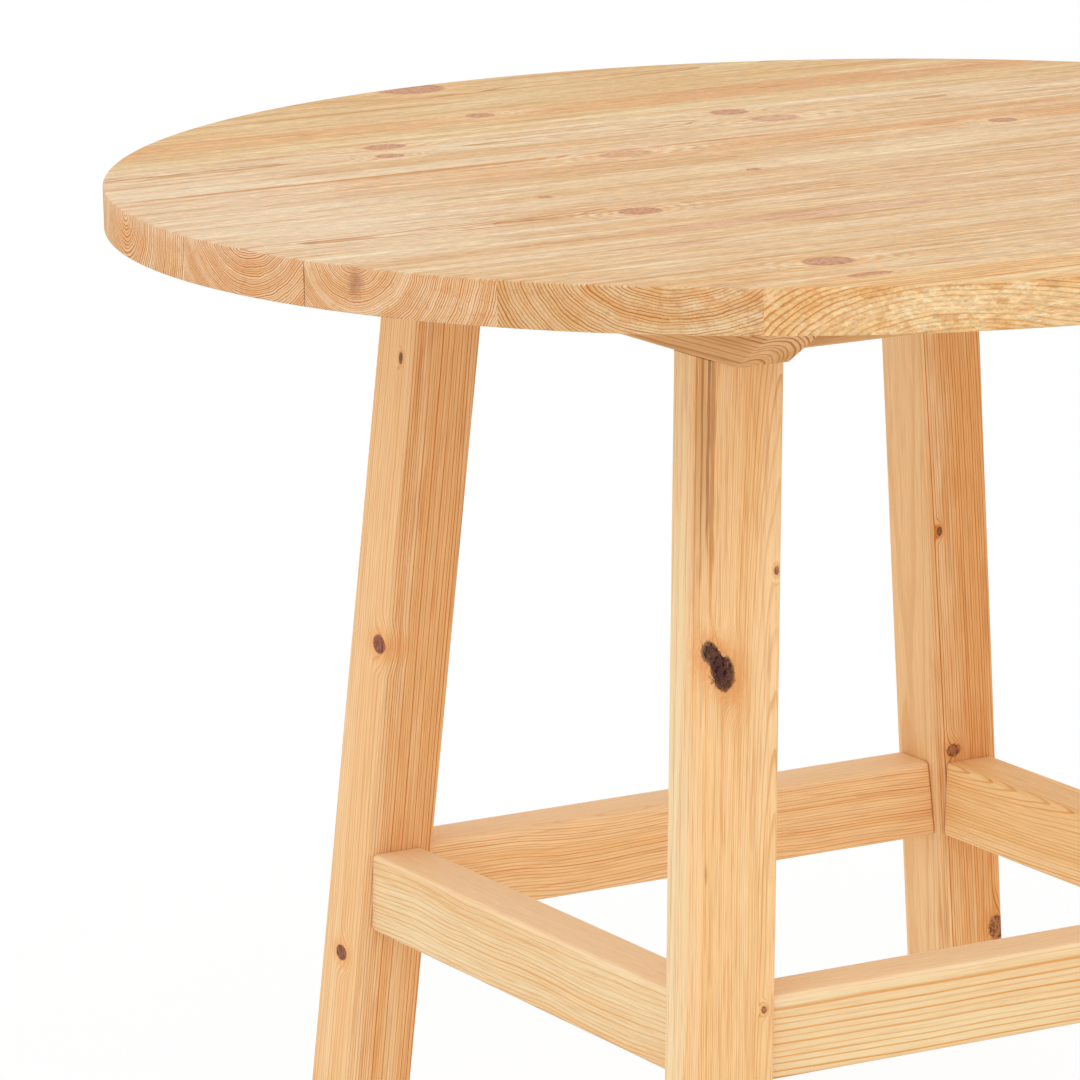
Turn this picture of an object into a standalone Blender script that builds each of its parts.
"""Round pine dining table: an edge-glued round top on two bevelled bearers and two top rails,
carried by four splayed square legs that a ring of four low stretchers ties together."""

import math

import bmesh
import bpy
from mathutils import Matrix, Vector

# Driving dimensions, in metres (angles in degrees). X runs along the boards, Z up, floor at Z = 0.
TABLE_HEIGHT = 0.740
TOP_DIAMETER = 1.050
TOP_THICKNESS = 0.032
TOP_EDGE_RADIUS = 0.0025
# Glue joints between the boards, as distances from the table's centre line, front to back.
BOARD_JOINTS = (-0.424, -0.294, -0.149, -0.011, 0.141, 0.275, 0.400)
NARROWEST_BOARD = 0.020

LEG_SECTION = 0.056
LEG_CENTRE_AT_TOP = 0.2126
LEG_SPLAY = 4.9
LEG_EDGE_RADIUS = 0.0025
FOOT_CHAMFER = 0.002

STRETCHER_THICKNESS = 0.042
STRETCHER_DEPTH = 0.060
STRETCHER_TOP_HEIGHT = 0.215
STRETCHER_EDGE_RADIUS = 0.0035

FRAME_DEPTH = 0.052
FRAME_EDGE_RADIUS = 0.0025
BEARER_THICKNESS = 0.042
BEARER_RIM_SETBACK = 0.112
BEARER_BEVEL_RUN = 0.085
RAIL_THICKNESS = 0.042

TENON_THICKNESS = 0.022
TENON_WIDTH = 0.036
TENON_CORNER_RADIUS = 0.004
MORTISE_COVER = 0.028

DOWEL_DIAMETER = 0.008
DOWEL_LENGTH = 0.040
DOWEL_CHAMFER = 0.001
DOWEL_WALL = 0.004
STRETCHER_DOWEL_SPACING = 0.024
RAIL_DOWEL_SPACING = 0.022

SCREW_DIAMETER = 0.005
SCREW_HEAD_DIAMETER = 0.010
SCREW_HEAD_HEIGHT = 0.0035
SCREW_TIP_LENGTH = 0.005
SCREW_TIP_DIAMETER = 0.00125
SCREW_BITE = 0.018
SCREW_SPACING = 0.120
SCREW_RECESS_WIDTH = 0.0012
SCREW_RECESS_SPAN = 0.005
SCREW_RECESS_DEPTH = 0.002
COUNTERBORE_DEPTH = 0.016
COUNTERBORE_PLAY = 0.002

GLIDE_DIAMETER = 0.030
GLIDE_THICKNESS = 0.004
GLIDE_EDGE_RADIUS = 0.0012
GLIDE_PIN_DIAMETER = 0.003
GLIDE_PIN_LENGTH = 0.014

FIT_GAP = 0.0003

# How finely round shapes are stepped, and how far cutters run past the faces that they open.
RIM_STEP = 3.0
CORNER_STEPS = 2
ROUND_SIDES = 12
SHARP_ANGLE = 35.0
MERGE_DISTANCE = 1e-6
CUT_OVERSHOOT = 0.002

# Colours are linear RGB.
PINE_TOP = (0.74, 0.52, 0.30)
PINE_FRAME = (0.78, 0.46, 0.20)
BEECH = (0.58, 0.40, 0.25)
ZINC = (0.62, 0.60, 0.55)
BROWN_PLASTIC = (0.12, 0.07, 0.04)
PINE_ROUGHNESS = 0.55
BEECH_ROUGHNESS = 0.7
ZINC_ROUGHNESS = 0.35
PLASTIC_ROUGHNESS = 0.5

# Sizes worked out from the driving dimensions.
TOP_RADIUS = TOP_DIAMETER / 2
UNDERSIDE = TABLE_HEIGHT - TOP_THICKNESS
FRAME_TOP = UNDERSIDE - FIT_GAP
FRAME_BOTTOM = FRAME_TOP - FRAME_DEPTH
LEG_TOP = FRAME_BOTTOM - FIT_GAP
LEG_FOOT = GLIDE_THICKNESS + FIT_GAP
STRETCHER_MIDDLE = STRETCHER_TOP_HEIGHT - STRETCHER_DEPTH / 2
DOWEL_DEPTH_IN_LEG = LEG_SECTION / 2 - DOWEL_DIAMETER / 2 - FIT_GAP - DOWEL_WALL
SIDES = {"left": -1, "right": 1}
ENDS = {"front": -1, "back": 1}


def leg_centre(height):
    """Distance of a leg's axis from the table's centre lines at a height."""
    return LEG_CENTRE_AT_TOP + (LEG_TOP - height) * math.tan(math.radians(LEG_SPLAY))


def leg_inner_face(height):
    """Distance of a leg's inner faces from the table's centre lines at a height."""
    return leg_centre(height) - LEG_SECTION / 2


STRETCHER_LINE = leg_centre(STRETCHER_MIDDLE)
BEARER_OUTER = LEG_CENTRE_AT_TOP + LEG_SECTION / 2
BEARER_LINE = BEARER_OUTER - BEARER_THICKNESS / 2
BEARER_INNER = BEARER_OUTER - BEARER_THICKNESS
RAIL_LINE = LEG_CENTRE_AT_TOP
BEARER_HALF_LENGTH = math.sqrt(TOP_RADIUS ** 2 - BEARER_OUTER ** 2) - BEARER_RIM_SETBACK
RAIL_DOWEL_HEIGHT = FRAME_TOP - MORTISE_COVER / 2


def clear_scene():
    """Remove whatever the file holds."""
    for item in list(bpy.data.objects):
        bpy.data.objects.remove(item, do_unlink=True)


def rounded_rectangle(width, depth, radius):
    """Outline of a rectangle with rounded corners, centred on the origin."""
    corners = ((1, 1, 0), (-1, 1, 90), (-1, -1, 180), (1, -1, 270))
    points = []
    for side_x, side_y, start in corners:
        centre_x = side_x * (width / 2 - radius)
        centre_y = side_y * (depth / 2 - radius)
        for step in range(CORNER_STEPS + 1):
            angle = math.radians(start + 90 * step / CORNER_STEPS)
            points.append((centre_x + radius * math.cos(angle), centre_y + radius * math.sin(angle)))
    return points


def circle(radius):
    """Outline of a round section."""
    turns = [2 * math.pi * side / ROUND_SIDES for side in range(ROUND_SIDES)]
    return [(radius * math.cos(turn), radius * math.sin(turn)) for turn in turns]


def at_height(outline, height, shift=(0, 0)):
    """Lift an outline to a height, moved sideways by shift."""
    return [(x + shift[0], y + shift[1], height) for x, y in outline]


def loft(name, rings):
    """Closed mesh object through rings of points, each ring with the same number of points."""
    mesh = bpy.data.meshes.new(name)
    shape = bmesh.new()
    loops = [[shape.verts.new(point) for point in ring] for ring in rings]
    count = len(loops[0])
    shape.faces.new(loops[0])
    shape.faces.new(loops[-1])
    for lower, upper in zip(loops, loops[1:]):
        for index in range(count):
            after = (index + 1) % count
            shape.faces.new((lower[index], lower[after], upper[after], upper[index]))
    bmesh.ops.remove_doubles(shape, verts=shape.verts, dist=MERGE_DISTANCE)
    bmesh.ops.recalc_face_normals(shape, faces=shape.faces)
    shape.to_mesh(mesh)
    shape.free()
    item = bpy.data.objects.new(name, mesh)
    bpy.context.scene.collection.objects.link(item)
    return item


def turned(name, profile):
    """Round piece along Z from (radius, height) pairs."""
    return loft(name, [at_height(circle(radius), height) for radius, height in profile])


def beam(name, section, half_length_at, middle_height):
    """Straight piece along X: its ends may slope with height."""
    ends = []
    for side in (-1, 1):
        ends.append([(side * half_length_at(middle_height + z), y, z) for y, z in section])
    return loft(name, ends)


def cut(item, cutters):
    """Subtract cutters from a piece and keep the plain result."""
    for cutter in cutters:
        cutter.hide_render = True
        cutter.display_type = "WIRE"
        modifier = item.modifiers.new(cutter.name, "BOOLEAN")
        modifier.operation = "DIFFERENCE"
        modifier.solver = "EXACT"
        modifier.object = cutter
    graph = bpy.context.evaluated_depsgraph_get()
    graph.update()
    result = bpy.data.meshes.new_from_object(item.evaluated_get(graph))
    item.modifiers.clear()
    item.data = result


def finish(item, colour, roughness, metallic=0.0):
    """Give a piece its own material and shade its round stretches smooth."""
    material = bpy.data.materials.new(item.name + "_finish")
    material.use_nodes = True
    shader = material.node_tree.nodes["Principled BSDF"]
    shader.inputs["Base Color"].default_value = (*colour, 1.0)
    shader.inputs["Roughness"].default_value = roughness
    shader.inputs["Metallic"].default_value = metallic
    item.data.materials.clear()
    item.data.materials.append(material)
    item.data.shade_smooth()
    item.data.set_sharp_from_angle(angle=math.radians(SHARP_ANGLE))


def eased_edge():
    """(inset, height) pairs up the side of the top: rounded below and above."""
    pairs = []
    for step in range(CORNER_STEPS + 1):
        angle = math.radians(90 * step / CORNER_STEPS)
        pairs.append((TOP_EDGE_RADIUS * (1 - math.sin(angle)), TOP_EDGE_RADIUS * (1 - math.cos(angle))))
    mirrored = [(inset, TOP_THICKNESS - height) for inset, height in reversed(pairs)]
    return pairs + mirrored


def rim_angles(radius, front, back):
    """Angles on the rim where a board's front and back joints meet it."""
    return math.asin(max(front / radius, -1)), math.asin(min(back / radius, 1))


def board_outline(radius, front, back, steps):
    """Outline of one board of the round top: two straight joints and two arcs of the rim."""
    start, stop = rim_angles(radius, front, back)
    angles = [start + (stop - start) * step / steps for step in range(steps + 1)]
    right = [(radius * math.cos(angle), radius * math.sin(angle)) for angle in angles]
    left = [(-x, y) for x, y in reversed(right)]
    return right + left


def make_boards():
    """Boards of the top, front to back, as (object, front joint, back joint)."""
    reach = TOP_RADIUS - NARROWEST_BOARD
    joints = [joint for joint in BOARD_JOINTS if abs(joint) < reach]
    fronts = [-TOP_DIAMETER] + [joint + FIT_GAP / 2 for joint in joints]
    backs = [joint - FIT_GAP / 2 for joint in joints] + [TOP_DIAMETER]
    boards = []
    for number, (front, back) in enumerate(zip(fronts, backs), start=1):
        start, stop = rim_angles(TOP_RADIUS, front, back)
        steps = math.ceil(math.degrees(stop - start) / RIM_STEP)
        rings = []
        for inset, height in eased_edge():
            rings.append(at_height(board_outline(TOP_RADIUS - inset, front, back, steps), height))
        board = loft(f"top_board_{number}", rings)
        board.location = (0, 0, UNDERSIDE)
        boards.append((board, front, back))
    return boards


def make_leg(name, side, end):
    """Splayed leg with a foot chamfer below and a stub tenon above its shoulder."""
    full = rounded_rectangle(LEG_SECTION, LEG_SECTION, LEG_EDGE_RADIUS)
    foot_size = LEG_SECTION - 2 * FOOT_CHAMFER
    foot = rounded_rectangle(foot_size, foot_size, LEG_EDGE_RADIUS)
    tenon = rounded_rectangle(TENON_THICKNESS, TENON_WIDTH, TENON_CORNER_RADIUS)

    def drift(height):
        spread = leg_centre(height) - LEG_CENTRE_AT_TOP
        return side * spread, end * spread

    tenon_shift = (side * (BEARER_LINE - LEG_CENTRE_AT_TOP), 0)
    tenon_top = FRAME_TOP - MORTISE_COVER - FIT_GAP
    rings = [
        at_height(foot, LEG_FOOT, drift(LEG_FOOT)),
        at_height(full, LEG_FOOT + FOOT_CHAMFER, drift(LEG_FOOT + FOOT_CHAMFER)),
        at_height(full, LEG_TOP),
        at_height(tenon, LEG_TOP, tenon_shift),
        at_height(tenon, tenon_top, tenon_shift),
    ]
    leg = loft(name, rings)
    leg.location = (side * LEG_CENTRE_AT_TOP, end * LEG_CENTRE_AT_TOP, 0)
    return leg


def make_mortise(side, end):
    """Cutter for a leg's tenon in the bearer above it."""
    outline = rounded_rectangle(
        TENON_THICKNESS + 2 * FIT_GAP, TENON_WIDTH + 2 * FIT_GAP, TENON_CORNER_RADIUS + FIT_GAP
    )
    below = FRAME_BOTTOM - CUT_OVERSHOOT
    cutter = loft("mortise", [at_height(outline, below), at_height(outline, FRAME_TOP - MORTISE_COVER)])
    cutter.location = (side * BEARER_LINE, end * LEG_CENTRE_AT_TOP, 0)
    return cutter


def make_stretcher(name, along_x, sign):
    """Low stretcher whose ends follow the lean of the legs they meet."""
    section = rounded_rectangle(STRETCHER_THICKNESS, STRETCHER_DEPTH, STRETCHER_EDGE_RADIUS)
    stretcher = beam(name, section, lambda height: leg_inner_face(height) - FIT_GAP, STRETCHER_MIDDLE)
    place_across(stretcher, along_x, sign * STRETCHER_LINE, STRETCHER_MIDDLE)
    return stretcher


def make_bearer(name, side):
    """Bearer across the boards: its ends are bevelled from below."""

    def half_length(height):
        return BEARER_HALF_LENGTH - BEARER_BEVEL_RUN * (FRAME_TOP - height) / FRAME_DEPTH

    section = rounded_rectangle(BEARER_THICKNESS, FRAME_DEPTH, FRAME_EDGE_RADIUS)
    bearer = beam(name, section, half_length, FRAME_TOP - FRAME_DEPTH / 2)
    place_across(bearer, False, side * BEARER_LINE, FRAME_TOP - FRAME_DEPTH / 2)
    return bearer


def make_rail(name, end):
    """Top rail between the two bearers."""
    section = rounded_rectangle(RAIL_THICKNESS, FRAME_DEPTH, FRAME_EDGE_RADIUS)
    rail = beam(name, section, lambda height: BEARER_INNER - FIT_GAP, FRAME_TOP - FRAME_DEPTH / 2)
    place_across(rail, True, end * RAIL_LINE, FRAME_TOP - FRAME_DEPTH / 2)
    return rail


def place_across(item, along_x, offset, height):
    """Stand a beam along X or Y at an offset from the centre line."""
    if along_x:
        item.location = (0, offset, height)
    else:
        item.rotation_euler = (0, 0, math.radians(90))
        item.location = (offset, 0, height)


def aim(item, point, direction):
    """Put a round piece's base at a point, with its axis along a direction."""
    turn = Vector((0, 0, 1)).rotation_difference(Vector(direction))
    item.matrix_world = Matrix.Translation(point) @ turn.to_matrix().to_4x4()


def make_dowel(name, face_point, direction, depth):
    """Dowel that enters a face by depth along direction, and the cutter for its two holes."""
    radius = DOWEL_DIAMETER / 2
    profile = (
        (radius - DOWEL_CHAMFER, 0),
        (radius, DOWEL_CHAMFER),
        (radius, DOWEL_LENGTH - DOWEL_CHAMFER),
        (radius - DOWEL_CHAMFER, DOWEL_LENGTH),
    )
    dowel = turned(name, profile)
    hole = turned("dowel_hole", ((radius + FIT_GAP, -FIT_GAP), (radius + FIT_GAP, DOWEL_LENGTH + FIT_GAP)))
    base = Vector(face_point) + Vector(direction) * (depth - DOWEL_LENGTH)
    aim(dowel, base, direction)
    aim(hole, base, direction)
    finish(dowel, BEECH, BEECH_ROUGHNESS)
    return hole


def make_screw(name, place):
    """Screw up into the top, with the cutters for its holes in the frame and in the boards."""
    seat = FRAME_BOTTOM + COUNTERBORE_DEPTH
    shank_end = UNDERSIDE + SCREW_BITE
    radius = SCREW_DIAMETER / 2
    head_radius = SCREW_HEAD_DIAMETER / 2
    head_top = seat - FIT_GAP
    head_bottom = head_top - SCREW_HEAD_HEIGHT
    profile = (
        (head_radius, head_bottom),
        (head_radius, head_top),
        (radius, head_top),
        (radius, shank_end - SCREW_TIP_LENGTH),
        (SCREW_TIP_DIAMETER / 2, shank_end),
    )
    screw = turned(name, profile)
    screw.location = (*place, 0)
    recess_height = head_bottom + SCREW_RECESS_DEPTH
    slots = []
    for span, width in ((SCREW_RECESS_SPAN, SCREW_RECESS_WIDTH), (SCREW_RECESS_WIDTH, SCREW_RECESS_SPAN)):
        corners = [(x * span / 2, y * width / 2) for x, y in ((1, 1), (-1, 1), (-1, -1), (1, -1))]
        low = at_height(corners, head_bottom - CUT_OVERSHOOT)
        slot = loft("screw_recess", [low, at_height(corners, recess_height)])
        slot.location = screw.location
        slots.append(slot)
    cut(screw, slots)
    finish(screw, ZINC, ZINC_ROUGHNESS, metallic=1.0)
    bore = radius + FIT_GAP
    shank = turned("screw_hole", ((bore, seat - CUT_OVERSHOOT), (bore, shank_end + FIT_GAP)))
    wide = head_radius + COUNTERBORE_PLAY
    mouth = turned("counterbore", ((wide, FRAME_BOTTOM - CUT_OVERSHOOT), (wide, seat)))
    for cutter in (shank, mouth):
        cutter.location = screw.location
    return shank, mouth


def make_glide(name, side, end):
    """Nail-in glide under a foot, and the cutter for its pin."""
    radius = GLIDE_DIAMETER / 2
    pin = GLIDE_PIN_DIAMETER / 2
    tip = LEG_FOOT + GLIDE_PIN_LENGTH
    profile = (
        (radius - GLIDE_EDGE_RADIUS, 0),
        (radius, GLIDE_EDGE_RADIUS),
        (radius, GLIDE_THICKNESS),
        (pin, GLIDE_THICKNESS),
        (pin, tip),
    )
    glide = turned(name, profile)
    hole = turned("pin_hole", ((pin + FIT_GAP, GLIDE_THICKNESS), (pin + FIT_GAP, tip + FIT_GAP)))
    spot = leg_centre(LEG_FOOT)
    for item in (glide, hole):
        item.location = (side * spot, end * spot, 0)
    finish(glide, BROWN_PLASTIC, PLASTIC_ROUGHNESS)
    return hole


def stretcher_holes(along_x, sign, name, near, far):
    """Dowels at both ends of a stretcher; returns hole cutters keyed by end name."""
    holes = {}
    for end_name, end_sign in (near, far):
        holes[end_name] = []
        for level, lift in (("lower", -1), ("upper", 1)):
            height = STRETCHER_MIDDLE + lift * STRETCHER_DOWEL_SPACING / 2
            reach = end_sign * leg_inner_face(height)
            offset = sign * STRETCHER_LINE
            point = (reach, offset, height) if along_x else (offset, reach, height)
            direction = (end_sign, 0, 0) if along_x else (0, end_sign, 0)
            label = f"dowel_{name}_{end_name}_{level}"
            holes[end_name].append(make_dowel(label, point, direction, DOWEL_DEPTH_IN_LEG))
    return holes


def rail_holes(end_name, end, side_name, side):
    """Two dowels between a top rail and a bearer; returns their hole cutters."""
    holes = []
    for label, step in (("front", -1), ("back", 1)):
        across = end * RAIL_LINE + step * RAIL_DOWEL_SPACING / 2
        point = (side * BEARER_INNER, across, RAIL_DOWEL_HEIGHT)
        name = f"dowel_top_rail_{end_name}_{side_name}_{label}"
        holes.append(make_dowel(name, point, (side, 0, 0), DOWEL_LENGTH / 2))
    return holes


def main():
    """Build the table."""
    clear_scene()
    boards = make_boards()
    legs = {}
    leg_cuts = {}
    bearers = {}
    bearer_cuts = {side_name: [] for side_name in SIDES}
    rails = {}
    rail_cuts = {end_name: [] for end_name in ENDS}
    stretchers = []
    board_holes = []

    for side_name, side in SIDES.items():
        bearers[side_name] = make_bearer(f"bearer_{side_name}", side)
        for end_name, end in ENDS.items():
            corner = (end_name, side_name)
            legs[corner] = make_leg(f"leg_{end_name}_{side_name}", side, end)
            leg_cuts[corner] = [make_glide(f"foot_glide_{end_name}_{side_name}", side, end)]
            bearer_cuts[side_name].append(make_mortise(side, end))

    for end_name, end in ENDS.items():
        rails[end_name] = make_rail(f"top_rail_{end_name}", end)
        for side_name, side in SIDES.items():
            holes = rail_holes(end_name, end, side_name, side)
            rail_cuts[end_name] += holes
            bearer_cuts[side_name] += holes

    for end_name, end in ENDS.items():
        item = make_stretcher(f"stretcher_{end_name}", True, end)
        holes = stretcher_holes(True, end, end_name, *SIDES.items())
        for side_name in SIDES:
            leg_cuts[(end_name, side_name)] += holes[side_name]
        stretchers.append((item, holes))
    for side_name, side in SIDES.items():
        item = make_stretcher(f"stretcher_{side_name}", False, side)
        holes = stretcher_holes(False, side, side_name, *ENDS.items())
        for end_name in ENDS:
            leg_cuts[(end_name, side_name)] += holes[end_name]
        stretchers.append((item, holes))

    for side_name, side in SIDES.items():
        for number, step in enumerate((-1, 0, 1), start=1):
            place = (side * BEARER_LINE, step * SCREW_SPACING)
            shank, mouth = make_screw(f"top_screw_{side_name}_{number}", place)
            bearer_cuts[side_name] += [shank, mouth]
            board_holes.append((shank, place[1]))
    for end_name, end in ENDS.items():
        place = (0, end * RAIL_LINE)
        shank, mouth = make_screw(f"top_screw_{end_name}", place)
        rail_cuts[end_name] += [shank, mouth]
        board_holes.append((shank, place[1]))

    hole_reach = SCREW_DIAMETER / 2 + FIT_GAP
    for board, front, back in boards:
        near = [shank for shank, across in board_holes if front - hole_reach < across < back + hole_reach]
        cut(board, near)
        finish(board, PINE_TOP, PINE_ROUGHNESS)
    for corner, leg in legs.items():
        cut(leg, leg_cuts[corner])
        finish(leg, PINE_FRAME, PINE_ROUGHNESS)
    for side_name, bearer in bearers.items():
        cut(bearer, bearer_cuts[side_name])
        finish(bearer, PINE_FRAME, PINE_ROUGHNESS)
    for end_name, rail in rails.items():
        cut(rail, rail_cuts[end_name])
        finish(rail, PINE_FRAME, PINE_ROUGHNESS)
    for stretcher, holes in stretchers:
        cut(stretcher, [hole for group in holes.values() for hole in group])
        finish(stretcher, PINE_FRAME, PINE_ROUGHNESS)

    pieces = [item for item in bpy.data.objects if not item.hide_render]
    for item in list(bpy.data.objects):
        if item.hide_render:
            bpy.data.objects.remove(item, do_unlink=True)
    table = bpy.data.objects.new("round_dining_table", None)
    bpy.context.scene.collection.objects.link(table)
    for item in pieces:
        item.parent = table


main()
